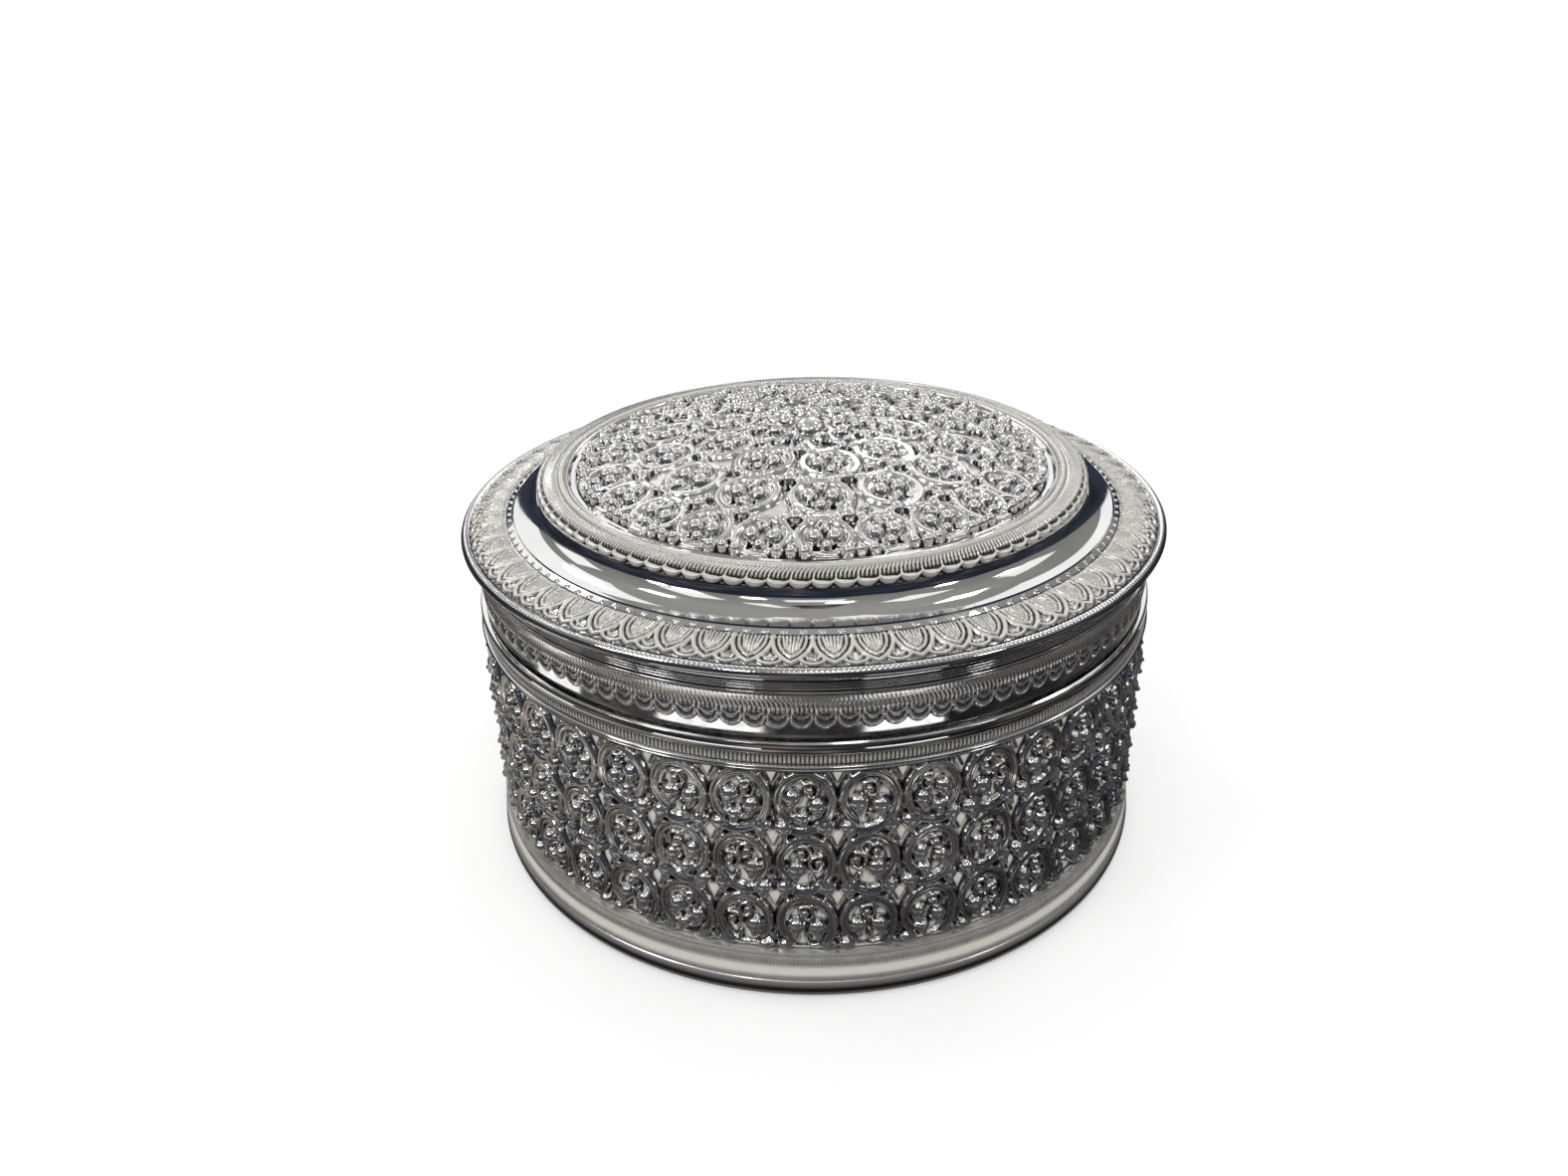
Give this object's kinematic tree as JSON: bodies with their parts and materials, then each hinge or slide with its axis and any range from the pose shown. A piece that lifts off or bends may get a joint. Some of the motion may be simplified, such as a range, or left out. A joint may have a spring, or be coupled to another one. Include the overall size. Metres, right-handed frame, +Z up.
{
  "type": "round lidded silver box",
  "caption": "Round silver box with a lift-off lid: drum wall chased with scrolling vine, lotus-petal flange on the lid, raised chased crown, milled borders and a moulded foot.",
  "frame": {"origin": "centre of the face that the foot stands on", "axes": "+Z up along the axis of the box, +X to the right and -Y towards the front as pictured"},
  "size_m": [0.14, 0.14, 0.0852],
  "materials": {
    "polished_silver": "bright polished silver",
    "chased_silver": "chased silver, polished on the high points and dark in the recesses",
    "milled_silver": "silver with a fine beaded milling",
    "inner_silver": "plain satin silver"
  },
  "bodies": {
    "base": {"foot_ring": "polished_silver", "base_plate": "inner_silver", "body_wall": "chased_silver", "lower_border_band": "milled_silver", "upper_edge_wire": "polished_silver", "upper_milled_band": "milled_silver", "mouth_bead": "polished_silver", "inner_collar": "inner_silver"},
    "lid": {"lid_skirt": "chased_silver", "lid_neck_moulding": "polished_silver", "lid_rim_wire": "polished_silver", "lid_petal_flange": "chased_silver", "lid_cove": "polished_silver", "lid_lappet_band": "chased_silver", "lid_milled_wire": "milled_silver", "lid_dome_panel": "chased_silver"}
  },
  "joints": [
    {"name": "lid_lift", "type": "slide", "parent": "base", "child": "lid", "axis": [0, 0, 1], "range_m": [0, 0.07]}
  ]
}
